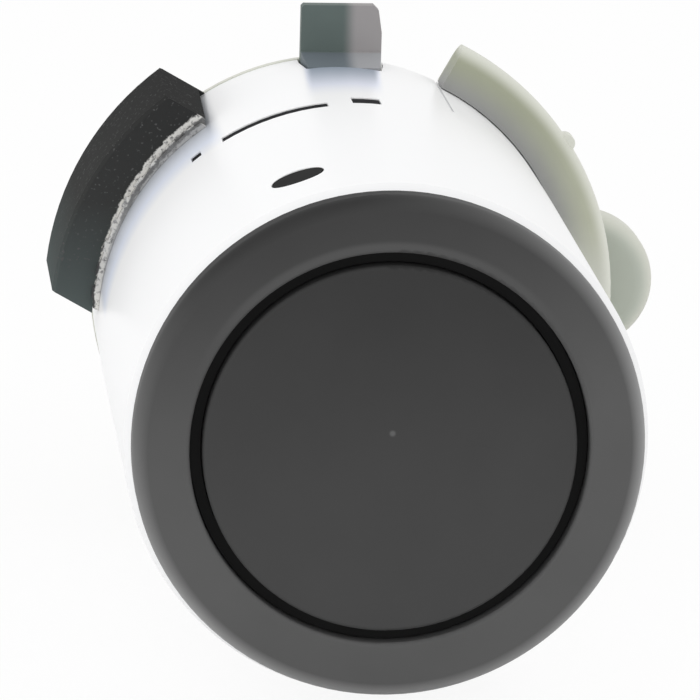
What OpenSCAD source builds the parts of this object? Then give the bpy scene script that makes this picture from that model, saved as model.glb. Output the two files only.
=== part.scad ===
// Ultrasonic parking sensor that is pushed into a holder behind a vehicle's bumper.
//
// Every piece is drawn in one working frame: z runs from the face to the rear along the axis,
// x to the right and y down, as seen by someone who looks at the face. z = 0 is the front end
// of the barrel. Clock angles are counted anticlockwise from the right, seen from the face.
// stand() then turns the work so that the face looks along -Y and +Z is up.

/* [Face] */
// Diameter of the membrane at the middle of the face
membrane_d = 17.5; // [14:0.5:22]
// Width of the groove round the membrane
groove_w = 0.6; // [0.4:0.05:1]
// Depth of the groove, down to the decoupling sleeve
groove_depth = 0.8; // [0.4:0.1:1.4]
// Width of the face ring outside the groove
face_land_w = 2.65; // [2.2:0.05:4]
// Height of the face ring in front of the barrel
face_proud = 1.5; // [1:0.1:3]
// Rounding of the face ring's outer edge
face_edge_r = 0.7; // [0.2:0.1:0.9]
// Rounding of the small edges on both sides of the groove
groove_edge_r = 0.2; // [0.1:0.05:0.3]

/* [Transducer] */
// Depth of the aluminium cup, from its face to its back
cup_depth = 9; // [7:0.5:12]
// Thickness of the cup's front, which is the membrane
membrane_t = 0.8; // [0.5:0.1:1.2]
// Thickness of the cup's side wall
cup_wall = 1.4; // [1:0.1:2]
// Length of the rim at the back of the cup
cup_rim_len = 2; // [1:0.25:3]
// Height of the oblong pocket that makes the beam wider than it is tall
beam_pocket_h = 10.6; // [8:0.2:12]
// Diameter of the piezo disc
piezo_d = 8; // [6:0.5:9]
// Thickness of the piezo disc
piezo_t = 0.4; // [0.3:0.05:0.8]
// Thickness of the absorber pad behind the piezo disc
absorber_t = 3; // [2:0.25:4]
// Thickness of the sleeve's lip behind the cup
sleeve_lip_t = 1.5; // [1:0.25:2.5]

/* [Barrel] */
// Length of the barrel
barrel_len = 32.5; // [30:0.5:45]
// How far the barrel stands outside the face ring
barrel_lip = 0.3; // [0.1:0.05:0.6]
// Thickness of the barrel's wall
barrel_wall = 1.3; // [1:0.1:1.8]
// How much smaller the barrel's radius is at its rear end than in the holder's bore
barrel_draft = 0.05; // [0.02:0.01:0.1]
// Clock angle of the snap holes and latch windows
latch_angle = 109.5; // [100:0.1:118]
// Diameter of the face ring's snap nubs
snap_d = 2.5; // [1.6:0.1:3]
// Depth of the snap nubs behind the barrel's front end
snap_z = 5; // [3.6:0.1:6]
// Depth of the latch windows behind the barrel's front end
latch_z = 20.1; // [18:0.1:20.4]
// Width of the latch windows along the axis
latch_window_w = 1; // [0.8:0.05:1.4]
// Width of the guide slots along the axis
guide_slot_w = 1.4; // [1:0.05:1.6]
// Sweep of the main latch window
latch_deg = 25.9; // [18:0.1:28]
// Sweep of the bridges on both sides of it
bridge_deg = 5.8; // [4:0.1:8]
// Sweep of the longer guide slot
long_slot_deg = 6.7; // [4:0.1:9]
// Sweep of the shorter guide slot
short_slot_deg = 2.8; // [2:0.1:5]
// Length of the slit in the barrel's surface at the end of the stop flange
slit_len = 8.6; // [5:0.1:9]
// Width of that slit
slit_w = 0.15; // [0.1:0.05:0.3]

/* [Side pad] */
// Clock angle of the rubber pad
pad_angle = 150.8; // [145:0.1:160]
// Width of the pad between its parallel ends
pad_w = 11.6; // [9:0.1:14]
// Length of the pad along the axis
pad_len = 7.4; // [5:0.1:9]
// Thickness of the pad above its plate
pad_t = 2.1; // [1.5:0.1:3]
// Thickness of the metal plate under the pad
plate_t = 0.3; // [0.2:0.05:0.6]
// Length of the plate that shows in front of the pad
plate_lead = 0.3; // [0.1:0.05:0.8]
// How far the plate lies inside the pad's ends
plate_inset = 0.3; // [0.1:0.05:0.6]
// Number of teeth along the plate's front edge, which stand up against the pad
plate_teeth = 9; // [3:1:11]
// How much narrower the pad is at the upper corner of its front
pad_draft = 0.15; // [0:0.05:0.4]
// Diameter of the pegs that hold the pad
peg_d = 2; // [1.6:0.1:2.6]
// Distance of the pegs from the pad's middle
peg_offset = 3.6; // [2.5:0.1:4.5]

/* [Carrier] */
// Thickness of the carrier's wall
carrier_wall = 1.3; // [1.2:0.1:1.8]
// Thickness of the partition behind the transducer
bulkhead_t = 1.6; // [1:0.2:2.4]
// Width of the key tab on top
key_w = 4.15; // [3:0.05:5]
// Distance of the key tab's middle from the plane through the axis
key_x = 0.28; // [0:0.02:1]
// Thickness of the key tab along the axis
key_t = 0.75; // [0.6:0.05:2]
// Height of the key tab above the barrel
key_h = 2.8; // [2:0.02:4]
// Length of the ramp in front of the key tab
ramp_len = 1.9; // [1:0.1:3]
// Height of the ramp above the barrel, at the key tab
ramp_h = 0.4; // [0.2:0.05:0.8]
// Width of the snap ring
ring_w = 3.2; // [2.8:0.1:4]
// Thickness of the snap ring
ring_t = 0.6; // [0.5:0.05:0.8]
// Sweep of the gap in the snap ring
ring_gap_deg = 10; // [6:1:16]

/* [Electronics] */
// Thickness of the circuit board
board_t = 1; // [0.8:0.1:1.6]
// Width of the transformer's ferrite core
core_w = 6.4; // [5:0.2:7]
// Height of the transformer's ferrite core
core_h = 5.6; // [4.5:0.2:6.5]
// Length of the transformer's ferrite core
core_len = 4; // [3:0.2:5]
// Diameter of the reservoir capacitor
reservoir_d = 4; // [3:0.2:4.4]
// Height of the reservoir capacitor
reservoir_h = 4.4; // [3.5:0.1:5]
// Length of the control chip's body
chip_len = 5; // [4:0.2:6]
// Width of the control chip's body
chip_w = 4; // [3:0.2:5]
// Height of the control chip's body
chip_h = 1.5; // [1:0.1:2]
// Diameter of the leads from the transducer
lead_d = 0.6; // [0.4:0.1:0.8]

/* [Rear housing] */
// Length of the plug inside the carrier
plug_len = 5.3; // [4.5:0.1:7]
// Thickness of the collar behind the barrel
collar_t = 2.6; // [2:0.1:4]
// How far the collar lies inside the barrel's outside
collar_drop = 1; // [0.6:0.1:1.6]
// Thickness of the thin rim that covers the barrel's rear end
rim_t = 0.4; // [0.3:0.1:0.8]
// How far that rim stands outside the barrel
rim_lip = 0.05; // [0.05:0.05:0.3]
// How far the stop flange stands outside the barrel
flange_out = 2.35; // [1.5:0.05:3]
// Thickness of the stop flange
flange_t = 2; // [1.8:0.1:3]
// How far the stop flange laps over the barrel's rear end
flange_lap = 1.9; // [0.8:0.1:1.9]
// Clock angle of the stop flange's upper end, at its foot
flange_end_angle = 64; // [40:0.5:70]
// Slant of the flange's end faces against the radius through their foot
flange_end_slant = 3; // [0:0.5:20]
// Rounding of the stop flange's outer edges
flange_edge_r = 0.9; // [0.3:0.1:0.9]
// Clock angle of the nib on the stop flange
nib_angle = 34; // [25:0.5:45]
// How far that nib stands outside the flange
nib_out = 0.3; // [0.2:0.05:0.8]
// Radius of the thumb lobe
lobe_r = 3.6; // [2.5:0.1:4]
// Distance of the thumb lobe's centre from the axis
lobe_out = 13.7; // [13:0.1:16]
// Thickness of the thumb lobe
lobe_t = 3.2; // [2.5:0.1:4.5]
// How far the thumb lobe's front lies behind the barrel's rear end
lobe_set_back = 1.8; // [1:0.1:2]
// Thickness of the seal ring's section
seal_d = 1.1; // [0.8:0.1:1.4]

/* [Connector] */
// Width of the socket's mouth
socket_w = 12.2; // [10.5:0.1:14]
// Height of the socket's mouth
socket_h = 7; // [6:0.1:8]
// Depth of the socket
socket_depth = 12; // [11:0.25:16]
// Thickness of the socket's wall
socket_wall = 1.2; // [1:0.1:1.6]
// Length of the neck between the collar and the socket
neck_len = 3.9; // [3:0.1:6]
// Thickness of the contact pins
pin_t = 0.64; // [0.5:0.02:0.8]
// Distance between contact pins
pin_pitch = 2.8; // [2.2:0.1:3.2]
// Length of the contact pins in the socket
pin_reach = 6.5; // [5:0.1:6.8]

/* [Hidden] */
$fn = 96;

// Slip clearance between pieces that nest, and a little more than a cut needs to come out clean
fit = 0.05;
clear = 1;

// Radii from the axis outwards
membrane_r = membrane_d / 2;
groove_r = membrane_r + groove_w;
face_r = groove_r + face_land_w;
barrel_r = face_r + barrel_lip;
bore_r = barrel_r - barrel_wall;
spigot_r = bore_r - fit;
carrier_r = bore_r - fit;
carrier_in_r = carrier_r - carrier_wall;
// The sleeve's thick part takes just under half of the room between the groove and the bore
sleeve_r = groove_r + 0.45 * (bore_r - groove_r);
cup_rim_r = (membrane_r + sleeve_r) / 2;
cup_bore_r = membrane_r - cup_wall;

// Depths from the barrel's front end
face_z = -face_proud;
pocket_z = face_z + membrane_t;
piezo_back = pocket_z + piezo_t;
absorber_back = piezo_back + absorber_t;
cup_back = face_z + cup_depth;
rim_z = cup_back - cup_rim_len;
spigot_len = snap_z + snap_d / 2 + 0.15;
shoulder_z = spigot_len / 3;
sleeve_back = cup_back + fit + sleeve_lip_t;
carrier_front = spigot_len + 4 * fit;
bulkhead_z = sleeve_back + fit;
chamber_z = bulkhead_z + bulkhead_t;
carrier_back = barrel_len - 2 * fit;

// Windows of the latch, seen from its middle: first clock angle, sweep, depth from latch_z, width
latch_windows = [
    [-latch_deg / 2 - bridge_deg - long_slot_deg, long_slot_deg, 0.4, guide_slot_w],
    [-latch_deg / 2, latch_deg, -0.3, latch_window_w],
    [latch_deg / 2 + bridge_deg, short_slot_deg, 0, latch_window_w]
];
tooth_slack_deg = 0.4;
tooth_recess = 0.05;
nub_recess = 0.04;

// Snap ring in its groove of the carrier
ring_floor_r = carrier_r - ring_t;
ring_gap_angle = 90;

// Key tab: its right side leans in above its middle, its corners are cut, and its ramp narrows
key_top = barrel_r + key_h;
key_root = carrier_in_r + carrier_wall / 2;
key_front = carrier_back - key_t;
ramp_front = key_front - ramp_len;
key_lean = 0.18;
key_cut = 0.25;
ramp_narrow = 0.25;

// Side pad, from the plate on the barrel outwards
bond = 0.01;
plate_r = barrel_r + bond;
pad_foot_r = plate_r + plate_t;
pad_r = pad_foot_r + pad_t;
pad_back = barrel_len - 2 * fit;
pad_front = pad_back - pad_len;
plate_front = pad_front - plate_lead;
pad_chamfer = 0.15;
plate_w = pad_w - 2 * plate_inset;
tooth_h = 0.12;
tooth_t = plate_lead / 2;
peg_z = (pad_front + pad_back) / 2;
guide_gap = 0.5;
guide_back = plate_front - guide_gap;
peg_in_x = sqrt(pow(bore_r, 2) - pow(peg_offset - peg_d / 2, 2)) + fit;

// Circuit board: its upper face carries the pins and leads, whose middles lie on the axis
board_y = pin_t / 2;
board_gap = 0.3;
board_front = chamber_z + board_gap;
board_back = barrel_len - plug_len - board_gap;
board_half_w = carrier_in_r - 0.5;
rail_h = 1.2;
rail_grip = 0.8;
pin_overlap = 3.5;
lead_r = lead_d / 2;
lead_hole_r = lead_r + 2 * fit;
lead_y = board_y - lead_r;
lead_overlap = 2;
board_under = board_y + board_t;
board_mid = (board_front + board_back) / 2;
signal_x = piezo_d / 4;
return_x = -(piezo_d / 2 + cup_bore_r) / 2;

// Transformer
core_z = board_front + lead_overlap + 1.2 + core_len / 2;
core_yoke = core_h * 0.18;
core_leg = core_w * 0.28;
core_window = core_w * 0.21;
coil_gap = 0.1;
coil_overhang = 1.1;

// Small parts on the board: size along x, y and z, and the room beside them
chip_leg_reach = 0.9;
cap_size = [1.25, 1.2, 2];
cap_gap = 0.4;
cap_room = 0.78;
res_size = [1.6, 0.5, 0.8];
res_gap = 0.8;
res_room = 0.9;

// Rear housing
collar_back = barrel_len + collar_t;
collar_r = barrel_r - collar_drop;
rim_r = barrel_r - barrel_draft + rim_lip;
flange_front = barrel_len - flange_lap;
flange_r = barrel_r + flange_out;
flange_in_r = barrel_r + bond;
flange_back = flange_front + flange_t;
flange_root_r = (flange_in_r + flange_r) / 2;
flange_root_t = 1.2;
flange_root_deg = flange_end_angle - 8;
slit_depth = 0.6;
slit_angle = flange_end_angle + 0.5;
nib_r = 0.45;
nib_len = 1;
plug_r = carrier_in_r - fit;
plug_front = barrel_len - plug_len;
seal_floor_r = carrier_in_r - seal_d - 2 * fit;
seal_z = (plug_front + barrel_len) / 2;
seal_groove_w = seal_d + 0.3;
plug_pocket_r = seal_floor_r - 1;
lobe_z = barrel_len + lobe_set_back;
lobe_edge_r = 1;
web_h = 1.3 * lobe_r;
web_root_r = collar_r / 2;
socket_floor = collar_back + neck_len;
socket_mouth = socket_floor + socket_depth;
socket_floor_t = 3.5;
socket_outer_r = 2.2;
socket_inner_r = 1;
neck_step = 0.6;
neck_r = collar_r - neck_step;
latch_ramp_w = 4;
latch_ramp_h = 1.2;
latch_ramp_len = 3;
keyway_w = 1.6;
keyway_depth = 0.5;
keyway_x = socket_w / 4;
rib_t = 1.2;

// Frames and sections

module stand() {
    rotate([-90, 0, 0]) children();
}

module at_clock(angle) {
    rotate([0, 0, -angle]) children();
}

// A section in y and z, drawn out along x
module along_x(width) {
    rotate([90, 0, 90]) linear_extrude(height = width, center = true) children();
}

// A section in x and z, drawn out along y
module along_y(height) {
    rotate([90, 0, 0]) linear_extrude(height = height, center = true) children();
}

// A plain ring between two radii and two depths
module tube(r_in, r_out, z_from, z_to) {
    rotate_extrude() translate([r_in, z_from]) square([r_out - r_in, z_to - z_from]);
}

// Part of such a ring, from one clock angle over a sweep
module ring_sector(r_in, r_out, z_from, z_to, from, sweep) {
    at_clock(from + sweep)
        rotate_extrude(angle = sweep) translate([r_in, z_from]) square([r_out - r_in, z_to - z_from]);
}

// Cutter that rounds a corner of a section: the solid lies on the side given by the signs
module corner_cut(r, z, radius, r_sign, z_sign) {
    translate([r, z]) scale([r_sign, z_sign]) difference() {
        translate([-clear, -clear]) square(radius + clear);
        translate([radius, radius]) circle(radius);
    }
}

module rounded_rect(w, h, radius) {
    square([w - 2 * radius, h], center = true);
    square([w, h - 2 * radius], center = true);
    for (x = [-1, 1], y = [-1, 1])
        translate([x * (w / 2 - radius), y * (h / 2 - radius)]) circle(radius);
}

// Round-cornered bar along z
module rounded_bar(w, h, radius, z_from, z_to) {
    translate([0, 0, z_from]) linear_extrude(height = z_to - z_from) rounded_rect(w, h, radius);
}

module lead_holes(z_from, z_to) {
    for (x = [signal_x, return_x])
        translate([x, lead_y, z_from]) cylinder(r = lead_hole_r, h = z_to - z_from);
}

// Both latches, half a turn apart
module both_latches() {
    for (turn = [0, 180]) at_clock(latch_angle + turn) children();
}

// Face and transducer

module face_ring() {
    color([0.32, 0.32, 0.32]) stand() {
        rotate_extrude() difference() {
            polygon([
                [groove_r, face_z], [face_r, face_z], [face_r, 0], [spigot_r, 0],
                [spigot_r, spigot_len], [sleeve_r + fit, spigot_len], [sleeve_r + fit, shoulder_z],
                [groove_r, shoulder_z]
            ]);
            corner_cut(face_r, face_z, face_edge_r, -1, 1);
            corner_cut(groove_r, face_z, groove_edge_r, 1, 1);
        }
        both_latches()
            translate([(sleeve_r + fit + spigot_r) / 2, 0, snap_z]) rotate([0, 90, 0])
                cylinder(d = snap_d, h = barrel_r - nub_recess - (sleeve_r + fit + spigot_r) / 2);
    }
}

module beam_pocket(shrink, z_from, z_to) {
    intersection() {
        translate([0, 0, z_from]) cylinder(r = cup_bore_r - shrink, h = z_to - z_from);
        translate([0, 0, (z_from + z_to) / 2])
            cube([2 * membrane_d, beam_pocket_h - 2 * shrink, z_to - z_from], center = true);
    }
}

module transducer_cup() {
    color([0.26, 0.26, 0.26]) stand() difference() {
        rotate_extrude() difference() {
            union() {
                translate([0, face_z]) square([membrane_r, cup_depth]);
                translate([0, rim_z]) square([cup_rim_r, cup_rim_len]);
            }
            corner_cut(membrane_r, face_z, groove_edge_r, -1, 1);
        }
        beam_pocket(0, pocket_z, absorber_back);
        translate([0, 0, absorber_back]) cylinder(r = cup_bore_r, h = cup_back);
    }
}

module piezo_disc() {
    color([0.83, 0.79, 0.68]) stand()
        translate([0, 0, pocket_z]) cylinder(d = piezo_d, h = piezo_t);
}

module absorber_pad() {
    color([0.55, 0.5, 0.42]) stand() difference() {
        beam_pocket(2 * fit, piezo_back, absorber_back);
        lead_holes(pocket_z, cup_back);
    }
}

module cup_plug() {
    color([0.2, 0.2, 0.22]) stand() difference() {
        translate([0, 0, absorber_back])
            cylinder(r = cup_bore_r - fit, h = cup_back - absorber_back);
        lead_holes(pocket_z, cup_back + clear);
    }
}

module decoupling_sleeve() {
    color([0.06, 0.06, 0.06]) stand() rotate_extrude() polygon([
        [membrane_r + fit, face_z + groove_depth], [groove_r - fit, face_z + groove_depth],
        [groove_r - fit, shoulder_z + fit], [sleeve_r, shoulder_z + fit], [sleeve_r, sleeve_back],
        [cup_bore_r, sleeve_back], [cup_bore_r, cup_back + fit], [cup_rim_r + fit, cup_back + fit],
        [cup_rim_r + fit, rim_z - fit], [membrane_r + fit, rim_z - fit]
    ]);
}

module signal_lead() {
    color([0.7, 0.16, 0.12]) stand() translate([signal_x, lead_y, piezo_back])
        cylinder(d = lead_d, h = board_front + lead_overlap - piezo_back);
}

module return_lead() {
    color([0.1, 0.1, 0.1]) stand() translate([return_x, lead_y, pocket_z])
        cylinder(d = lead_d, h = board_front + lead_overlap - pocket_z);
}

// Barrel and pad

// Room of the pad or of a piece in it, open outwards. Its upper front corner is drawn in by the draft
module pad_room(width, z_from, z_to) {
    at_clock(pad_angle) rotate([90, 0, 90]) linear_extrude(height = 2 * barrel_r) polygon([
        [-width / 2, z_from], [width / 2 - pad_draft, z_from], [width / 2, z_to], [-width / 2, z_to]
    ]);
}

module pad_pegs(d, in_x, out_x) {
    at_clock(pad_angle) for (side = [-1, 1])
        translate([in_x, side * peg_offset, peg_z]) rotate([0, 90, 0])
            cylinder(d = d, h = out_x - in_x);
}

// Round and straight as far as the holder's bore grips it, then with a little draft under the pad
module barrel() {
    edge = barrel_lip;
    color([0.93, 0.94, 0.96]) stand() difference() {
        rotate_extrude() polygon([
            [bore_r, 0], [barrel_r - edge, 0], [barrel_r, edge], [barrel_r, guide_back],
            [barrel_r - barrel_draft, barrel_len], [bore_r, barrel_len]
        ]);
        both_latches() translate([bore_r - clear, 0, snap_z]) rotate([0, 90, 0])
            cylinder(d = snap_d + 2 * fit, h = barrel_wall + 2 * clear);
        both_latches() for (w = latch_windows)
            ring_sector(bore_r - clear, barrel_r + clear, latch_z + w[2] - w[3] / 2,
                        latch_z + w[2] + w[3] / 2, w[0], w[1]);
        translate([key_x, -barrel_r, 0]) along_y(barrel_r) key_plan(2 * fit);
        at_clock(slit_angle) translate([barrel_r, 0, barrel_len])
            cube([2 * slit_depth, slit_w, 2 * slit_len], center = true);
        pad_pegs(peg_d + 2 * fit, bore_r / 2, 2 * barrel_r);
    }
}

// The plate lies between the rubber and the barrel, with teeth along its bare front edge
module pad_plate() {
    pitch_deg = plate_w / pad_foot_r * 180 / PI / plate_teeth;
    color([0.8, 0.79, 0.75]) stand() {
        difference() {
            intersection() {
                tube(plate_r, pad_foot_r - bond, plate_front, pad_back - plate_lead);
                pad_room(plate_w, plate_front, pad_back);
            }
            pad_pegs(peg_d + 2 * bond, bore_r, pad_r);
        }
        for (i = [0 : plate_teeth - 1])
            ring_sector(plate_r + plate_t / 2, pad_foot_r + tooth_h, plate_front, plate_front + tooth_t,
                        pad_angle + (i + 0.25 - plate_teeth / 2) * pitch_deg, pitch_deg / 2);
    }
}

// One piece of rubber above and behind the plate, with pegs through the plate and the barrel
module side_pad() {
    color([0.17, 0.17, 0.17]) stand() {
        difference() {
            intersection() {
                rotate_extrude() polygon([
                    [plate_r, pad_front], [pad_r - pad_chamfer, pad_front], [pad_r, pad_front + pad_chamfer],
                    [pad_r, pad_back - pad_chamfer], [pad_r - pad_chamfer, pad_back], [plate_r, pad_back]
                ]);
                pad_room(pad_w, pad_front, pad_back);
            }
            tube(bore_r, pad_foot_r, pad_front - clear, pad_back - plate_lead + bond);
        }
        pad_pegs(peg_d, peg_in_x, pad_foot_r + pad_t / 2);
    }
}

// Carrier and electronics

module board_rails() {
    in_x = board_half_w - rail_grip;
    z_from = chamber_z - bulkhead_t / 2;
    for (side = [-1, 1], y = [board_y - fit - rail_h / 2, board_y + board_t + fit + rail_h / 2])
        translate([side * (in_x + carrier_r) / 2, y, (z_from + board_back) / 2])
            cube([carrier_r - in_x, rail_h, board_back - z_from], center = true);
}

// Split ring round the carrier: its teeth fill the barrel's windows and hold the carrier in
module snap_ring() {
    half_w = ring_w / 2;
    color([0.1, 0.1, 0.1]) stand() {
        ring_sector(ring_floor_r + fit, spigot_r, latch_z - half_w, latch_z + half_w,
                    ring_gap_angle - latch_angle + ring_gap_deg / 2, 360 - ring_gap_deg);
        both_latches() for (w = latch_windows)
            ring_sector(spigot_r - ring_t / 2, barrel_r - tooth_recess, latch_z + w[2] - w[3] / 2 + fit,
                        latch_z + w[2] + w[3] / 2 - fit, w[0] + tooth_slack_deg / 2,
                        w[1] - tooth_slack_deg);
    }
}

// Plan of the key tab and its ramp, seen from above, with room all round
module key_plan(room) {
    half = key_w / 2 + room;
    polygon([
        [-half, barrel_len + room], [half, barrel_len + room], [half, key_front - room],
        [half - ramp_narrow, ramp_front - room], [ramp_narrow - half, ramp_front - room],
        [-half, key_front - room]
    ]);
}

module key_tab() {
    half = key_w / 2;
    translate([key_x, 0, key_front]) linear_extrude(height = key_t) polygon([
        [-half, -key_root], [half, -key_root], [half, -key_top + key_h / 2],
        [half - key_lean, -key_top + key_cut], [half - key_lean - key_cut, -key_top],
        [key_cut / 2 - half, -key_top], [-half, key_cut / 2 - key_top]
    ]);
    translate([key_x, 0, 0]) intersection() {
        along_y(4 * barrel_r) key_plan(0);
        along_x(2 * key_w) polygon([
            [-key_root, ramp_front], [-barrel_r + ramp_h / 4, ramp_front], [-barrel_r - ramp_h, key_front],
            [-barrel_r - ramp_h, carrier_back], [-key_root, carrier_back]
        ]);
    }
}

module inner_carrier() {
    color([0.42, 0.43, 0.43]) stand() {
        difference() {
            tube(0, carrier_r, carrier_front, carrier_back);
            translate([0, 0, carrier_front - clear])
                cylinder(r = sleeve_r + fit, h = bulkhead_z - carrier_front + clear);
            translate([0, 0, chamber_z]) cylinder(r = carrier_in_r, h = barrel_len);
            lead_holes(bulkhead_z - clear, chamber_z + clear);
            tube(ring_floor_r, carrier_r + clear, latch_z - ring_w / 2 - fit, latch_z + ring_w / 2 + fit);
        }
        intersection() {
            board_rails();
            tube(0, carrier_in_r + carrier_wall / 4, chamber_z - bulkhead_t / 2, board_back);
        }
        key_tab();
    }
}

module circuit_board() {
    color([0.1, 0.32, 0.16]) stand()
        translate([0, board_y + board_t / 2, board_mid])
            cube([2 * board_half_w, board_t, board_back - board_front], center = true);
}

module transformer_core() {
    window_h = core_h - 2 * core_yoke;
    color([0.16, 0.15, 0.15]) stand()
        translate([0, board_y - core_h / 2, core_z]) difference() {
            cube([core_w, core_h, core_len], center = true);
            for (side = [-1, 1])
                translate([side * (core_leg + core_window) / 2, 0, 0])
                    cube([core_window, window_h, core_len + clear], center = true);
        }
}

module transformer_coil() {
    coil_h = core_h - 2 * core_yoke - 2 * coil_gap;
    coil_w = core_leg + 2 * core_window - 2 * coil_gap;
    color([0.62, 0.33, 0.13]) stand()
        translate([0, board_y - core_h / 2, core_z]) along_y(coil_h) difference() {
            rounded_rect(coil_w, core_len + 2 * coil_overhang, coil_w / 5);
            square([core_leg + 2 * coil_gap, core_len + 2 * coil_gap], center = true);
        }
}

module reservoir_capacitor() {
    base_h = 0.8;
    x = (core_w / 2 + board_half_w - rail_grip) / 2;
    color([0.72, 0.72, 0.74]) stand() translate([x, board_y, core_z]) {
        translate([0, -base_h / 2, 0]) cube([reservoir_d, base_h, reservoir_d], center = true);
        rotate([90, 0, 0]) cylinder(d = reservoir_d - 4 * fit, h = reservoir_h);
    }
}

module control_chip() {
    leg_count = 4;
    leg_w = 0.4;
    leg_t = 0.2;
    standoff = 0.15;
    body_x = chip_w / 2;
    foot_x = body_x + chip_leg_reach;
    bend_x = body_x + chip_leg_reach / 2;
    knee_y = standoff + chip_h / 2;
    color([0.09, 0.09, 0.1]) stand() translate([0, board_under, board_mid]) {
        translate([0, standoff + chip_h / 2, 0]) cube([chip_w, chip_h, chip_len], center = true);
        for (side = [-1, 1], i = [0 : leg_count - 1])
            translate([0, 0, ((i + 0.5) / leg_count - 0.5) * chip_len]) leg_bar(side, leg_w) polygon([
                [body_x - leg_t, knee_y], [bend_x, knee_y], [bend_x, leg_t], [foot_x, leg_t],
                [foot_x, 0], [bend_x - leg_t, 0], [bend_x - leg_t, knee_y - leg_t],
                [body_x - leg_t, knee_y - leg_t]
            ]);
    }
}

// A bent leg's section in x and y, of one width along z, on either side of a chip
module leg_bar(side, width) {
    mirror([side < 0 ? 1 : 0, 0, 0])
        translate([0, 0, -width / 2]) linear_extrude(height = width) children();
}

module chip_capacitors() {
    x = -core_w / 2 - cap_room - cap_size[0] / 2;
    front = core_z - core_len / 2 + cap_size[2] / 2;
    color([0.6, 0.5, 0.36]) stand() for (i = [0 : 2])
        translate([x, board_y - cap_size[1] / 2, front + i * (cap_size[2] + cap_gap)])
            cube(cap_size, center = true);
}

module chip_resistors() {
    x = chip_w / 2 + chip_leg_reach + res_room + res_size[0] / 2;
    color([0.12, 0.12, 0.13]) stand() for (i = [-1.5 : 1.5])
        translate([x, board_under + res_size[1] / 2, board_mid + i * (res_size[2] + res_gap)])
            cube(res_size, center = true);
}

module contact_pin(place) {
    taper = 1.2;
    tip = pin_t / 4;
    z_from = board_back - pin_overlap;
    z_to = socket_floor + pin_reach;
    color([0.78, 0.66, 0.36]) stand() translate([place * pin_pitch, 0, 0]) along_x(pin_t) polygon([
        [-pin_t / 2, z_from], [pin_t / 2, z_from], [pin_t / 2, z_to - taper], [tip, z_to],
        [-tip, z_to], [-pin_t / 2, z_to - taper]
    ]);
}

// Rear housing

module housing_seal() {
    color([0.1, 0.1, 0.1]) stand() rotate_extrude()
        translate([seal_floor_r + fit + seal_d / 2, seal_z]) circle(d = seal_d);
}

// Part of a ring that laps over the barrel's end, is cut slanting at both ends and stands on a root
module stop_flange() {
    end_dir = flange_end_angle - flange_end_slant;
    end_y = (flange_in_r + 2 * fit) * sin(flange_end_slant);
    difference() {
        at_clock(flange_end_angle) rotate_extrude(angle = 2 * flange_end_angle) difference() {
            translate([flange_in_r, flange_front]) square([flange_r - flange_in_r, flange_t]);
            corner_cut(flange_r, flange_front, flange_edge_r, -1, 1);
            corner_cut(flange_r, flange_back, flange_edge_r, -1, -1);
        }
        for (side = [-1, 1]) at_clock(side * end_dir)
            translate([flange_r, -side * (end_y + flange_r / 2), flange_front])
                cube([2 * flange_r, flange_r, 4 * flange_t], center = true);
    }
    ring_sector(collar_r - clear, flange_root_r, barrel_len, flange_back + flange_root_t,
                -flange_root_deg, 2 * flange_root_deg);
    at_clock(nib_angle)
        translate([flange_r + nib_out - nib_r, 0, (flange_front + flange_back - nib_len) / 2])
            cylinder(r = nib_r, h = nib_len);
}

module thumb_lobe() {
    web_back = lobe_z + lobe_t - lobe_edge_r;
    translate([lobe_out, 0, 0]) rotate_extrude() difference() {
        translate([0, lobe_z]) square([lobe_r, lobe_t]);
        corner_cut(lobe_r, lobe_z, lobe_edge_r, -1, 1);
        corner_cut(lobe_r, lobe_z + lobe_t, lobe_edge_r, -1, -1);
    }
    translate([web_root_r, -web_h / 2, barrel_len])
        cube([lobe_out - web_root_r, web_h, web_back - barrel_len]);
}

// Thin rim over the barrel's rear end, from the key tab round to the flange's lower end
module collar_rim() {
    ring_sector(collar_r - clear, rim_r, barrel_len, barrel_len + rim_t, 90, 270 - flange_end_angle);
}

module neck() {
    hull($fn = 32) {
        translate([0, 0, collar_back - clear / 2]) cylinder(r = neck_r, h = clear / 2);
        rounded_bar(socket_w + 2 * socket_wall, socket_h + 2 * socket_wall, socket_outer_r,
                    socket_floor - clear / 4, socket_floor);
    }
}

// Catch on top of the socket that holds the plug's latch
module socket_catch() {
    top = socket_h / 2 + socket_wall;
    back = socket_mouth - latch_ramp_len / 2;
    along_x(latch_ramp_w) polygon([
        [-top + clear / 2, back - latch_ramp_len], [-top - latch_ramp_h, back - latch_ramp_len],
        [-top - latch_ramp_h, back - latch_ramp_len / 2], [-top + clear / 2, back]
    ]);
}

// Thin ribs that brace the socket against the collar, above and below
module socket_ribs() {
    side = socket_h / 2 + socket_wall;
    for (turn = [0, 180], x = [-1, 1]) rotate([0, 0, turn])
        translate([x * socket_w / 4, 0, 0]) along_x(rib_t) polygon([
            [side - clear / 2, collar_back - clear / 2], [neck_r - 1, collar_back - clear / 2],
            [neck_r - 1, collar_back + clear / 2], [side, socket_floor + socket_depth / 3],
            [side - clear / 2, socket_floor + socket_depth / 3]
        ]);
}

module pin_holes() {
    for (place = [-1 : 1])
        translate([place * pin_pitch, 0, (plug_front + socket_floor) / 2])
            cube([pin_t + 2 * fit, pin_t + 2 * fit, socket_floor - plug_front + clear], center = true);
}

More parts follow.
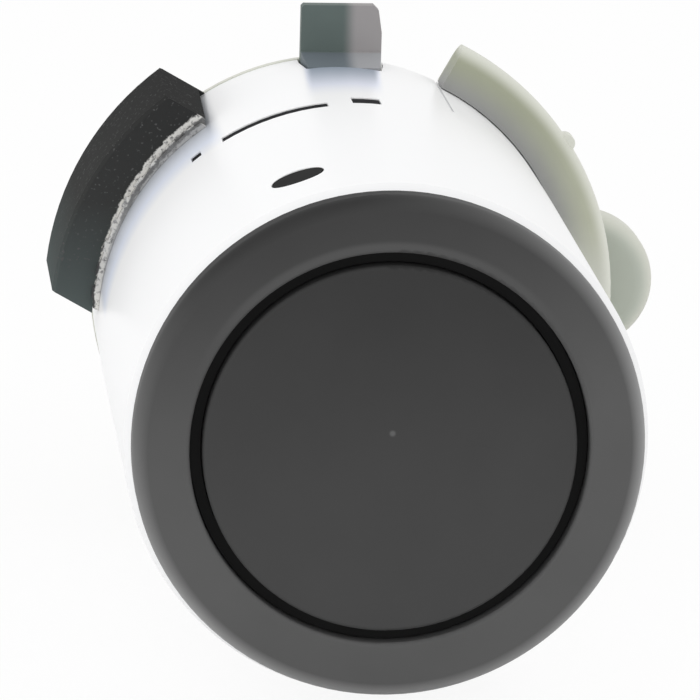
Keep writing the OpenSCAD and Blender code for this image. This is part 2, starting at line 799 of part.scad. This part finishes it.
module rear_housing() {
    color([0.72, 0.72, 0.66]) stand() difference() {
        union() {
            tube(0, plug_r, plug_front, barrel_len + clear / 2);
            tube(0, collar_r, barrel_len, collar_back);
            collar_rim();
            stop_flange();
            thumb_lobe();
            neck();
            rounded_bar(socket_w + 2 * socket_wall, socket_h + 2 * socket_wall, socket_outer_r,
                        socket_floor - clear / 4, socket_mouth);
            socket_catch();
            socket_ribs();
        }
        tube(seal_floor_r, plug_r + clear, seal_z - seal_groove_w / 2, seal_z + seal_groove_w / 2);
        translate([0, 0, plug_front - clear])
            cylinder(r = plug_pocket_r, h = socket_floor - socket_floor_t - plug_front + clear);
        rounded_bar(socket_w, socket_h, socket_inner_r, socket_floor, socket_mouth + clear);
        for (side = [-1, 1])
            translate([side * keyway_x, socket_h / 2, (socket_floor + socket_mouth) / 2 + clear / 2])
                cube([keyway_w, 2 * keyway_depth, socket_depth + clear], center = true);
        pin_holes();
    }
}

face_ring();
transducer_cup();
piezo_disc();
absorber_pad();
cup_plug();
decoupling_sleeve();
signal_lead();
return_lead();
barrel();
pad_plate();
side_pad();
snap_ring();
inner_carrier();
circuit_board();
transformer_core();
transformer_coil();
reservoir_capacitor();
control_chip();
chip_capacitors();
chip_resistors();
contact_pin(-1);  // contact_pin_left
contact_pin(0);  // contact_pin_middle
contact_pin(1);  // contact_pin_right
housing_seal();
rear_housing();
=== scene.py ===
"""Looks of the parking sensor: materials, studio light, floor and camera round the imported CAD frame."""

import math

import bpy
from mathutils import Matrix, Vector


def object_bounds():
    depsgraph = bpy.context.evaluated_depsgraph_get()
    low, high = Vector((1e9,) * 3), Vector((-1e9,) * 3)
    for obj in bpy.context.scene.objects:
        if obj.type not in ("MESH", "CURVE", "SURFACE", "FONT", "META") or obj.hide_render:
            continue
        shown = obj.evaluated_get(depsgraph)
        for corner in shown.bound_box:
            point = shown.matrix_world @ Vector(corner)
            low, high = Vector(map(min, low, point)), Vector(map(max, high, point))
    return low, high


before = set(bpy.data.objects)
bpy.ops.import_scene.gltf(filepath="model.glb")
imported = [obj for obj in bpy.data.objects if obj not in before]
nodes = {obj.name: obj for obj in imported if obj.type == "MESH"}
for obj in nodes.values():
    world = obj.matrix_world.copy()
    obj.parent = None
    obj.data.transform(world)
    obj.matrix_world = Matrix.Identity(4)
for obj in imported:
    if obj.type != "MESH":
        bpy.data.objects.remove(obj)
cad_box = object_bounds()
scene = bpy.context.scene

MM = 0.001
X, Y, Z = range(3)
SPEC = "Specular IOR Level"


# Sizes that the looks follow, measured on the CAD pieces


def span_of(name, axis):
    """Where a piece begins and ends along one axis."""
    values = [vertex.co[axis] for vertex in nodes[name].data.vertices]
    return min(values), max(values)


FACE_FRONT = span_of("face_ring", Y)[0]
FACE_R = span_of("face_ring", X)[1]
BARREL_R = span_of("barrel", X)[1]
BARREL_END = span_of("barrel", Y)[1]
PAD_FRONT = span_of("side_pad", Y)[0]


# Shader helpers


def new_material(name):
    mat = bpy.data.materials.new(name)
    mat.use_nodes = True
    tree = mat.node_tree
    tree.nodes.clear()
    out = tree.nodes.new("ShaderNodeOutputMaterial")
    bsdf = tree.nodes.new("ShaderNodeBsdfPrincipled")
    tree.links.new(bsdf.outputs["BSDF"], out.inputs["Surface"])
    return mat, tree, bsdf


def coords(tree):
    """The object's coordinates, which are those of the CAD frame."""
    return tree.nodes.new("ShaderNodeTexCoord").outputs["Object"]


def axis_of(tree, axis):
    node = tree.nodes.new("ShaderNodeSeparateXYZ")
    tree.links.new(coords(tree), node.inputs[0])
    return node.outputs[axis]


def vector_value(tree, operation, vector):
    """One number from the object's coordinates and a fixed vector."""
    node = tree.nodes.new("ShaderNodeVectorMath")
    node.operation = operation
    node.inputs[1].default_value = vector
    tree.links.new(coords(tree), node.inputs[0])
    return node.outputs["Value"]


def towards(tree, clock):
    """Distance from the axis towards a clock angle, in degrees anticlockwise from the right."""
    angle = math.radians(clock)
    return vector_value(tree, "DOT_PRODUCT", (math.cos(angle), 0.0, math.sin(angle)))


def radius_of(tree, centre=(0.0, 0.0, 0.0)):
    """Distance from the sensor's axis, which is the object's Y axis, or from a line beside it."""
    flat = tree.nodes.new("ShaderNodeVectorMath")
    flat.operation = "MULTIPLY"
    flat.inputs[1].default_value = (1.0, 0.0, 1.0)
    tree.links.new(coords(tree), flat.inputs[0])
    length = tree.nodes.new("ShaderNodeVectorMath")
    length.operation = "DISTANCE"
    length.inputs[1].default_value = centre
    tree.links.new(flat.outputs["Vector"], length.inputs[0])
    return length.outputs["Value"]


def noise(tree, scale, detail=3.0, roughness=0.5):
    tex = tree.nodes.new("ShaderNodeTexNoise")
    tex.inputs["Scale"].default_value = scale
    tex.inputs["Detail"].default_value = detail
    tex.inputs["Roughness"].default_value = roughness
    tree.links.new(coords(tree), tex.inputs["Vector"])
    return tex.outputs["Fac"]


def map_range(tree, value, span, target=(0.0, 1.0), curve="LINEAR"):
    """Carries a value from one span over to another and stops at both ends."""
    node = tree.nodes.new("ShaderNodeMapRange")
    node.interpolation_type = curve
    for name, number in zip(("From Min", "From Max", "To Min", "To Max"), (*span, *target)):
        node.inputs[name].default_value = number
    tree.links.new(value, node.inputs["Value"])
    return node.outputs["Result"]


def spread(tree, fac, low, high):
    """low where fac is 0, high where it is 1."""
    return map_range(tree, fac, (0.0, 1.0), (low, high))


def share(tree, value, span):
    """0 up to the span's first value, 1 from its second on, straight between."""
    return map_range(tree, value, span)


def step_up(tree, value, span):
    """0 up to the span's first value, 1 from its second on, smooth between."""
    return map_range(tree, value, span, curve="SMOOTHSTEP")


def math_node(tree, operation, a, b=0.0):
    node = tree.nodes.new("ShaderNodeMath")
    node.operation = operation
    for socket, value in zip(node.inputs, (a, b)):
        if isinstance(value, (int, float)):
            socket.default_value = value
        else:
            tree.links.new(value, socket)
    return node.outputs[0]


def ramp(tree, fac, stops):
    node = tree.nodes.new("ShaderNodeValToRGB")
    elements = node.color_ramp.elements
    while len(elements) < len(stops):
        elements.new(0.5)
    for element, (pos, colour) in zip(elements, stops):
        element.position = pos
        element.color = (*colour, 1.0)
    tree.links.new(fac, node.inputs["Fac"])
    return node.outputs["Color"]


# The Mix node's colour sockets go by number, because its other sockets have the same names
MIX_A = 6
MIX_B = 7
MIX_RESULT = 2


def blend(tree, fac, a, b):
    """Colour a where fac is 0, colour b where it is 1."""
    node = tree.nodes.new("ShaderNodeMix")
    node.data_type = "RGBA"
    for name, value in (("Factor", fac), (MIX_A, a), (MIX_B, b)):
        socket = node.inputs[name]
        if isinstance(value, tuple):
            socket.default_value = (*value, 1.0)
        else:
            tree.links.new(value, socket)
    return node.outputs[MIX_RESULT]


def bump(tree, bsdf, height, distance):
    node = tree.nodes.new("ShaderNodeBump")
    node.inputs["Distance"].default_value = distance
    tree.links.new(height, node.inputs["Height"])
    tree.links.new(node.outputs["Normal"], bsdf.inputs["Normal"])


def ray_is(tree, kind):
    return tree.nodes.new("ShaderNodeLightPath").outputs[kind]


def mix_shader(tree, fac, a, b):
    """Shader a where fac is 0, shader b where it is 1."""
    node = tree.nodes.new("ShaderNodeMixShader")
    for socket, value in zip(node.inputs, (fac, a, b)):
        tree.links.new(value, socket)
    return node.outputs[0]


def grey(value):
    return (value, value, value)


def scaled(colour, factor):
    return tuple(c * factor for c in colour)


MOTTLE_DARK = 0.3
MOTTLE_PALE = 0.7


def mottled(tree, colour, vary):
    """A colour that is darker and paler by a share in soft patches."""
    patches = noise(tree, scale=220.0, detail=4.0)
    dark = scaled(colour, 1 - vary)
    pale = scaled(colour, 1 + vary)
    return ramp(tree, patches, ((MOTTLE_DARK, dark), (MOTTLE_PALE, pale)))


def surface(
    name, colour, rough, vary=0.08, grain=900.0, bump_mm=0.004, rough_vary=0.06, specular=0.5, metallic=0.0
):
    """A surface with uneven roughness and a fine moulded or painted grain.

    The colour is a plain one, which is then mottled, or a function that builds it.
    The specular level is a number or a function too.
    """
    mat, tree, bsdf = new_material(name)
    base = colour(tree) if callable(colour) else mottled(tree, colour, vary)
    tree.links.new(base, bsdf.inputs["Base Color"])
    patches = noise(tree, scale=350.0, detail=2.0)
    tree.links.new(spread(tree, patches, rough - rough_vary, rough + rough_vary), bsdf.inputs["Roughness"])
    bump(tree, bsdf, noise(tree, grain), bump_mm * MM)
    bsdf.inputs["Metallic"].default_value = metallic
    if callable(specular):
        tree.links.new(specular(tree), bsdf.inputs[SPEC])
    else:
        bsdf.inputs[SPEC].default_value = specular
    return mat


def paint(name, mat):
    obj = nodes[name]
    obj.data.materials.clear()
    obj.data.materials.append(mat)


# Dark satin paint on the face, painted lighter towards the bottom as painted light, and black behind the
# face

BEHIND_FACE = (0.5 * MM, 1.5 * MM)
BACK_TONE = grey(0.02)
PAINT_SPEC = 0.2
BACK_SPEC = 0.02


def behind_face(tree):
    return step_up(tree, axis_of(tree, Y), BEHIND_FACE)


def paint_specular(tree):
    return spread(tree, behind_face(tree), PAINT_SPEC, BACK_SPEC)


def black_behind(tree, face):
    return blend(tree, behind_face(tree), face, mottled(tree, BACK_TONE, vary=0.1))


def lit_and_shaded_paint(tree, shaded_tone, lit_tone, clock, span):
    """Paint that goes over from a lit tone to a shaded one towards a clock angle, as painted light."""
    shaded_part = step_up(tree, towards(tree, clock), span)
    return blend(tree, shaded_part, mottled(tree, lit_tone, vary=0.04), mottled(tree, shaded_tone, vary=0.04))


# Painted light: the ring is painted darker at the top and lighter towards the bottom
RING_SHADED_TOP = grey(0.041)
RING_LIT_LOW = grey(0.092)
RING_SHADE_CLOCK = 102
RING_SHADE_SPAN = (-1.0 * MM, 12.5 * MM)
GROOVE_R = 9.35 * MM
# Painted highlight along the ring's inner edge above the groove
GLINT_R = (GROOVE_R + 0.65 * MM, GROOVE_R + 0.35 * MM)
GLINT_HEIGHT = (2.0 * MM, 7.0 * MM)
GLINT_TONE = grey(0.075)
# Painted reflection on the rounded edge: dark at the top, pale elsewhere
EDGE_SHEEN_CLOCK = 115
EDGE_SHEEN_TURN = (-0.3 * FACE_R, FACE_R)
EDGE_SHEEN_TONES = ((0.0, grey(0.31)), (0.55, grey(0.155)), (0.96, grey(0.02)))
EDGE_SHEEN_R = (FACE_R - 0.7 * MM, FACE_R)


def ring_colour(tree):
    """Painted light: the lower face is painted lighter, the rounded edge carries a painted reflection that
    is dark at the top and pale elsewhere, and a painted highlight line runs above the groove.
    """
    radius = radius_of(tree)
    face = lit_and_shaded_paint(tree, RING_SHADED_TOP, RING_LIT_LOW, RING_SHADE_CLOCK, RING_SHADE_SPAN)
    high_up = share(tree, axis_of(tree, Z), GLINT_HEIGHT)
    glint = math_node(tree, "MULTIPLY", step_up(tree, radius, GLINT_R), high_up)
    land = blend(tree, glint, face, GLINT_TONE)
    edge_sheen = ramp(tree, share(tree, towards(tree, EDGE_SHEEN_CLOCK), EDGE_SHEEN_TURN), EDGE_SHEEN_TONES)
    return black_behind(tree, blend(tree, share(tree, radius, EDGE_SHEEN_R), land, edge_sheen))


# Painted light: the membrane is painted darker at the top and lighter towards the bottom
CUP_SHADED_TOP = grey(0.0235)
CUP_LIT_LOW = grey(0.054)
CUP_SHADE_CLOCK = 90
CUP_SHADE_SPAN = (-8.0 * MM, 17.0 * MM)
DUST_PLACE = (0.07 * MM, FACE_FRONT, 0.79 * MM)
DUST_R = (0.2 * MM, 0.06 * MM)
DUST_TONE = grey(0.108)


def cup_colour(tree):
    """Painted lighter towards the bottom as painted light; one speck of dust lies near the middle of the
    membrane.
    """
    face = lit_and_shaded_paint(tree, CUP_SHADED_TOP, CUP_LIT_LOW, CUP_SHADE_CLOCK, CUP_SHADE_SPAN)
    lower_tone = step_up(tree, vector_value(tree, "DISTANCE", DUST_PLACE), DUST_R)
    return black_behind(tree, blend(tree, lower_tone, face, DUST_TONE))


# Grey plastic of the carrier; its key tab carries painted shade, darker and greener, on the left and painted
# light on the right

KEY_FRONT = 31.5 * MM
TAB_DEPTH = (KEY_FRONT - 0.1 * MM, KEY_FRONT + 0.2 * MM)
TAB_LIT_SIDE = (0.3 * MM, 1.1 * MM)
RAMP_SHADED_LEFT = (0.135, 0.16, 0.178)
RAMP_LIT_RIGHT = (0.34, 0.345, 0.36)
TAB_SHADED_LEFT = (0.113, 0.143, 0.133)
TAB_LIT_RIGHT = (0.32, 0.305, 0.305)


def carrier_colour(tree):
    """The ramp in front of the tab is bluer than the tab."""
    on_tab = step_up(tree, axis_of(tree, Y), TAB_DEPTH)
    left = blend(tree, on_tab, mottled(tree, RAMP_SHADED_LEFT, vary=0.06), mottled(tree, TAB_SHADED_LEFT, vary=0.1))
    right = blend(tree, on_tab, mottled(tree, RAMP_LIT_RIGHT, vary=0.04), mottled(tree, TAB_LIT_RIGHT, vary=0.04))
    return blend(tree, step_up(tree, axis_of(tree, X), TAB_LIT_SIDE), left, right)


# Cream plastic of the rear housing, with painted shade and painted highlights

CREAM = (0.43, 0.445, 0.365)
CREAM_HIGHLIGHT = (0.68, 0.69, 0.62)
FLANGE_UPPER_SHADED = (0.335, 0.35, 0.262)
FLANGE_LOWER_LIT = (0.45, 0.465, 0.365)
FLANGE_BOTTOM_LIT = (0.56, 0.57, 0.51)
FLANGE_FOOT_SHADE = (0.3, 0.303, 0.3)
FLANGE_HEIGHT = (3.0 * MM, 11.0 * MM)
BOTTOM_LIT_HEIGHT = (4.5 * MM, 0.5 * MM)
FLANGE_FOOT_R = (BARREL_R - 0.1 * MM, BARREL_R + 1.7 * MM)
FLANGE_EDGE_R = (BARREL_R + 1.6 * MM, BARREL_R + 2.35 * MM)
FLANGE_BACK = (BARREL_END - 0.2 * MM, BARREL_END - 0.05 * MM)
LOBE_CENTRE = (13.7 * MM, 0.0, 0.0)
LOBE_EDGE_R = (2.8 * MM, 3.6 * MM)
LOBE_SIDE = (11.0 * MM, 12.0 * MM)
LOBE_CREAM = (0.46, 0.49, 0.43)
LOBE_HIGHLIGHT = (0.62, 0.63, 0.56)
RIM_R = (BARREL_R + 0.2 * MM, BARREL_R + 0.1 * MM)
RIM_DEPTH = (BARREL_END + 0.5 * MM, BARREL_END + 0.4 * MM)


def flange_colour(tree):
    """Painted shade greys the flange where it lies on the barrel and darkens its upper part, painted light
    makes it paler further down, and a painted highlight runs along the outer edge.
    """
    radius = radius_of(tree)
    height = axis_of(tree, Z)
    lower_lit_part = mottled(tree, FLANGE_LOWER_LIT, vary=0.05)
    body = blend(tree, step_up(tree, height, FLANGE_HEIGHT), lower_lit_part, mottled(tree, FLANGE_UPPER_SHADED, vary=0.05))
    arc = blend(tree, step_up(tree, radius, FLANGE_FOOT_R), mottled(tree, FLANGE_FOOT_SHADE, vary=0.05), body)
    bottom_lit = blend(tree, step_up(tree, height, BOTTOM_LIT_HEIGHT), arc, FLANGE_BOTTOM_LIT)
    return blend(tree, step_up(tree, radius, FLANGE_EDGE_R), bottom_lit, CREAM_HIGHLIGHT)


def housing_colour(tree):
    """Behind the flange, the rim round the barrel's end and the lobe's edge are painted pale as painted
    highlights.
    """
    depth = axis_of(tree, Y)
    lobe_highlight = step_up(tree, radius_of(tree, LOBE_CENTRE), LOBE_EDGE_R)
    lobe = blend(tree, lobe_highlight, mottled(tree, LOBE_CREAM, vary=0.05), LOBE_HIGHLIGHT)
    on_lobe = step_up(tree, axis_of(tree, X), LOBE_SIDE)
    plain = blend(tree, on_lobe, mottled(tree, CREAM, vary=0.05), lobe)
    near_barrel = step_up(tree, radius_of(tree), RIM_R)
    rim_highlight = math_node(tree, "MULTIPLY", near_barrel, step_up(tree, depth, RIM_DEPTH))
    rear = blend(tree, rim_highlight, plain, CREAM_HIGHLIGHT)
    return blend(tree, step_up(tree, depth, FLANGE_BACK), flange_colour(tree), rear)


# Light ragged line along the pad's foot, on the rubber and on the sheet metal under it, with a painted
# shadow line beside it

LINE_R = BARREL_R + 0.1 * MM
LINE_RISE = 0.05
LINE_WAVE = 0.2 * MM
LINE_LIGHT = (0.7, 0.69, 0.66)
LINE_WORN = grey(0.22)
LINE_PATCHES = (0.5, 0.66)
FOOT_TONE = grey(0.42)
SEAM_SHADE_LOW = grey(0.48)
SEAM_SHADE_HIGH = grey(0.15)
SEAM_HEIGHT = (3.5 * MM, 7.0 * MM)
SEAM_FROM = (LINE_R - 0.42 * MM, LINE_R - 0.33 * MM)
LIGHT_FROM = (LINE_R - 0.22 * MM, LINE_R - 0.12 * MM)
OUTSIDE_FROM = (LINE_R + 0.07 * MM, LINE_R + 0.16 * MM)


def foot_line(tree, outside):
    """Colours across the line, which lies further out the higher it is.

    From the barrel outwards they are grey, a painted shadow line along the seam that is darker towards the
    top, light, and the colour outside.
    """
    height = axis_of(tree, Z)
    wave = spread(tree, noise(tree, scale=2400.0, detail=4.0, roughness=0.7), -LINE_WAVE, LINE_WAVE)
    level = math_node(tree, "SUBTRACT", radius_of(tree), math_node(tree, "MULTIPLY", height, LINE_RISE))
    place = math_node(tree, "ADD", level, wave)
    seam_shade = blend(tree, step_up(tree, height, SEAM_HEIGHT), SEAM_SHADE_LOW, SEAM_SHADE_HIGH)
    inside = blend(tree, step_up(tree, place, SEAM_FROM), FOOT_TONE, seam_shade)
    line = blend(tree, step_up(tree, place, LIGHT_FROM), inside, LINE_LIGHT)
    patches = step_up(tree, noise(tree, scale=4200.0, roughness=0.7), LINE_PATCHES)
    return blend(tree, step_up(tree, place, OUTSIDE_FROM), blend(tree, patches, line, LINE_WORN), outside)


PAD_HEIGHT = (0.5 * MM, 13.0 * MM)
PAD_TONES = ((0.0, (0.088, 0.106, 0.104)), (0.45, (0.042, 0.043, 0.042)), (1.0, grey(0.029)))
PAD_SPECKS = (0.62, 0.74)
PAD_SPECK_TONE = grey(0.09)
PAD_FACE = (PAD_FRONT + 0.1 * MM, PAD_FRONT + 0.05 * MM)


def pad_colour(tree):
    """Black rubber with sparse paler specks, paler and a little green towards its lower end."""
    lower_tone = ramp(tree, share(tree, axis_of(tree, Z), PAD_HEIGHT), PAD_TONES)
    specks = step_up(tree, noise(tree, scale=5200.0, detail=1.0), PAD_SPECKS)
    body = blend(tree, specks, lower_tone, PAD_SPECK_TONE)
    return blend(tree, step_up(tree, axis_of(tree, Y), PAD_FACE), body, foot_line(tree, body))


PLATE_COVERED = (PAD_FRONT - 0.02 * MM, PAD_FRONT + 0.05 * MM)
PLATE_BACK = grey(0.035)
PLATE_OUTSIDE = grey(0.045)


def plate_colour(tree):
    """Sheet metal that is bare along its front edge only."""
    covered = step_up(tree, axis_of(tree, Y), PLATE_COVERED)
    return blend(tree, covered, foot_line(tree, PLATE_OUTSIDE), PLATE_BACK)


# Glossy white plastic of the barrel, with a bluish painted shade and reflection in front of the key tab and
# of the pad

WHITE = (0.925, 0.927, 0.932)
KEY_X = 0.28 * MM
KEY_SHADE_LEAN = 0.06
KEY_SHADE_HALF_WIDTH = (2.05 * MM, 1.55 * MM)
KEY_SHADE_DEPTH = (21.5 * MM, 31.0 * MM)
KEY_SHADE_HEIGHT = (0.0, 9.0 * MM)
KEY_SHADE_TONES = ((0.0, WHITE), (0.3, (0.75, 0.78, 0.88)), (1.0, (0.29, 0.34, 0.41)))
PAD_CLOCK = 148
PAD_SHADE_REACH = (10.95 * MM, 11.3 * MM)
PAD_SHADE_DEPTH = (19.0 * MM, PAD_FRONT)
PAD_SHADE_TONES = ((0.0, WHITE), (0.4, (0.727, 0.77, 0.87)), (1.0, (0.43, 0.45, 0.48)))


def barrel_colour(tree):
    """The painted shade and reflection in front of the key tab leans a little to the left towards the face.
    Both painted shades fade towards the face.
    """
    depth = axis_of(tree, Y)
    leant = vector_value(tree, "DOT_PRODUCT", (1.0, -KEY_SHADE_LEAN, 0.0))
    off_middle = math_node(tree, "SUBTRACT", leant, KEY_X - KEY_SHADE_LEAN * KEY_FRONT)
    in_width = step_up(tree, math_node(tree, "ABSOLUTE", off_middle), KEY_SHADE_HALF_WIDTH)
    on_top = math_node(tree, "MULTIPLY", in_width, step_up(tree, axis_of(tree, Z), KEY_SHADE_HEIGHT))
    key_shade = math_node(tree, "MULTIPLY", on_top, step_up(tree, depth, KEY_SHADE_DEPTH))
    by_pad = step_up(tree, towards(tree, PAD_CLOCK), PAD_SHADE_REACH)
    pad_shade = ramp(tree, share(tree, depth, PAD_SHADE_DEPTH), PAD_SHADE_TONES)
    return blend(tree, by_pad, ramp(tree, key_shade, KEY_SHADE_TONES), pad_shade)


# Materials that the photo shows

face_paint = surface("face_paint", ring_colour, rough=0.62, grain=2600.0, specular=paint_specular)
cup_paint = surface("cup_paint", cup_colour, rough=0.62, grain=2600.0, specular=paint_specular)
white_gloss = surface(
    "white_gloss", barrel_colour, rough=0.3, grain=500.0, bump_mm=0.0008, rough_vary=0.03, specular=0.12
)
black_rubber = surface("black_rubber", pad_colour, rough=0.95, grain=1600.0, bump_mm=0.006, specular=0.02)
bare_metal = surface("bare_metal", plate_colour, rough=0.5, bump_mm=0.01, metallic=0.2)
grey_plastic = surface("grey_plastic", carrier_colour, rough=0.5, grain=1500.0, specular=0.1)
cream_plastic = surface("cream_plastic", housing_colour, rough=0.5, grain=1500.0, specular=0.2)
black_silicone = surface("black_silicone", (0.006, 0.006, 0.006), rough=0.7, grain=1500.0, specular=0.2)
black_plastic = surface("black_plastic", (0.012, 0.012, 0.014), rough=0.6, grain=1500.0, specular=0.02)

# Materials of the pieces inside

ceramic = surface("ceramic", (0.65, 0.58, 0.42), rough=0.6)
felt = surface("felt", (0.26, 0.21, 0.15), rough=0.9, vary=0.25, bump_mm=0.05)
fill = surface("fill", (0.03, 0.03, 0.035), rough=0.5)
red_lead = surface("red_lead", (0.45, 0.02, 0.015), rough=0.4)
black_lead = surface("black_lead", (0.012, 0.012, 0.012), rough=0.4)
board = surface("board", (0.01, 0.085, 0.03), rough=0.35)
ferrite = surface("ferrite", (0.025, 0.022, 0.022), rough=0.6)
coil = surface("coil", (0.5, 0.16, 0.05), rough=0.35, metallic=1.0)
can = surface("can", (0.6, 0.6, 0.62), rough=0.3, metallic=1.0)
chip = surface("chip", (0.009, 0.009, 0.01), rough=0.5)
chip_ceramic = surface("chip_ceramic", (0.32, 0.21, 0.1), rough=0.6)
contact = surface("contact", (0.75, 0.55, 0.22), rough=0.25, metallic=1.0)

for node_name, material in {
    "face_ring": face_paint,
    "transducer_cup": cup_paint,
    "piezo_disc": ceramic,
    "absorber_pad": felt,
    "cup_plug": fill,
    "decoupling_sleeve": black_silicone,
    "signal_lead": red_lead,
    "return_lead": black_lead,
    "barrel": white_gloss,
    "pad_plate": bare_metal,
    "side_pad": black_rubber,
    "snap_ring": black_plastic,
    "inner_carrier": grey_plastic,
    "circuit_board": board,
    "transformer_core": ferrite,
    "transformer_coil": coil,
    "reservoir_capacitor": can,
    "control_chip": chip,
    "chip_capacitors": chip_ceramic,
    "chip_resistors": chip,
    "contact_pin_left": contact,
    "contact_pin_middle": contact,
    "contact_pin_right": contact,
    "housing_seal": black_silicone,
    "rear_housing": cream_plastic,
}.items():
    paint(node_name, material)


# Camera, from a fit of the face, groove and barrel outlines in the photograph

AZIMUTH = math.radians(-5.125)
ELEVATION = math.radians(13.277)
TURN = math.radians(1.5)
DISTANCE = 280 * MM
TARGET = Vector((-1.897 * MM, FACE_FRONT, 4.815 * MM))
FOCAL_PX = 6057.5
IMAGE_PX = 700
SENSOR_MM = 36.0
CLIP_NEAR = 0.01
CLIP_FAR = 20.0

back = Vector(
    (
        math.sin(AZIMUTH) * math.cos(ELEVATION),
        -math.cos(AZIMUTH) * math.cos(ELEVATION),
        math.sin(ELEVATION),
    )
)
right = Vector((math.cos(AZIMUTH), math.sin(AZIMUTH), 0.0))
up = back.cross(right)
place = TARGET + back * DISTANCE
pose = Matrix.Identity(4)
for column, axis in enumerate((right, up, back, place)):
    for row in range(3):
        pose[row][column] = axis[row]
cam_data = bpy.data.cameras.new("camera")
cam_data.sensor_width = SENSOR_MM
cam_data.lens = FOCAL_PX * SENSOR_MM / IMAGE_PX
cam_data.clip_start = CLIP_NEAR
cam_data.clip_end = CLIP_FAR
camera = bpy.data.objects.new("camera", cam_data)
scene.collection.objects.link(camera)
camera.matrix_world = Matrix.Rotation(-TURN, 4, "Y") @ pose
scene.camera = camera


# Floor: seen as white by the camera, with a part of its true shading so that the shadow stays

FLOOR_LEVEL = cad_box[0][Z]
FLOOR_HALF = 3.0
FLOOR_TONE = grey(0.92)
FLOOR_ROUGH = 0.9
FLOOR_SPEC = 0.1
FLOOR_SEEN_WHITE = 0.9

floor_mesh = bpy.data.meshes.new("floor")
floor_mesh.from_pydata(
    [(x * FLOOR_HALF, y * FLOOR_HALF, FLOOR_LEVEL) for x, y in ((-1, -1), (1, -1), (1, 1), (-1, 1))],
    [],
    [(0, 1, 2, 3)],
)
floor = bpy.data.objects.new("floor", floor_mesh)
scene.collection.objects.link(floor)
floor_mat, floor_tree, floor_bsdf = new_material("floor")
floor_bsdf.inputs["Base Color"].default_value = (*FLOOR_TONE, 1.0)
floor_bsdf.inputs["Roughness"].default_value = FLOOR_ROUGH
floor_bsdf.inputs[SPEC].default_value = FLOOR_SPEC
floor_white = floor_tree.nodes.new("ShaderNodeEmission")
white_part = math_node(floor_tree, "MULTIPLY", ray_is(floor_tree, "Is Camera Ray"), FLOOR_SEEN_WHITE)
floor_mix = mix_shader(floor_tree, white_part, floor_bsdf.outputs[0], floor_white.outputs[0])
floor_tree.links.new(floor_mix, floor_tree.nodes["Material Output"].inputs["Surface"])
floor_mesh.materials.append(floor_mat)


# World: white where the camera or a reflection sees it, a little dimmer where it lights

WORLD_SEEN = 1.0
WORLD_LIGHT = 0.935


def background(tree, strength):
    node = tree.nodes.new("ShaderNodeBackground")
    node.inputs["Color"].default_value = (1.0, 1.0, 1.0, 1.0)
    node.inputs["Strength"].default_value = strength
    return node.outputs[0]


world = bpy.data.worlds.new("world")
scene.world = world
world.use_nodes = True
world_tree = world.node_tree
world_tree.nodes.clear()
world_out = world_tree.nodes.new("ShaderNodeOutputWorld")
by_camera = ray_is(world_tree, "Is Camera Ray")
in_reflection = ray_is(world_tree, "Is Glossy Ray")
seen = math_node(world_tree, "MAXIMUM", by_camera, in_reflection)
as_light = background(world_tree, WORLD_LIGHT)
as_seen = background(world_tree, WORLD_SEEN)
world_mix = mix_shader(world_tree, seen, as_light, as_seen)
world_tree.links.new(world_mix, world_out.inputs["Surface"])


# Lamps

LAMP_SIZE = 200 * MM


def lamp(name, place_mm, aim_mm, power):
    data = bpy.data.lights.new(name, "AREA")
    data.shape = "DISK"
    data.size = LAMP_SIZE
    data.energy = power
    obj = bpy.data.objects.new(name, data)
    scene.collection.objects.link(obj)
    obj.location = Vector(place_mm) * MM
    aim = Vector(aim_mm) * MM - obj.location
    obj.rotation_euler = aim.to_track_quat("-Z", "Y").to_euler()


lamp("key", place_mm=(220, -120, 260), aim_mm=(0, 10, 0), power=0.11)
lamp("fill", place_mm=(-220, -150, 90), aim_mm=(0, 15, 0), power=0.09)
lamp("side", place_mm=(-270, 20, 25), aim_mm=(0, 15, 0), power=0.04)

scene.view_settings.view_transform = "Standard"
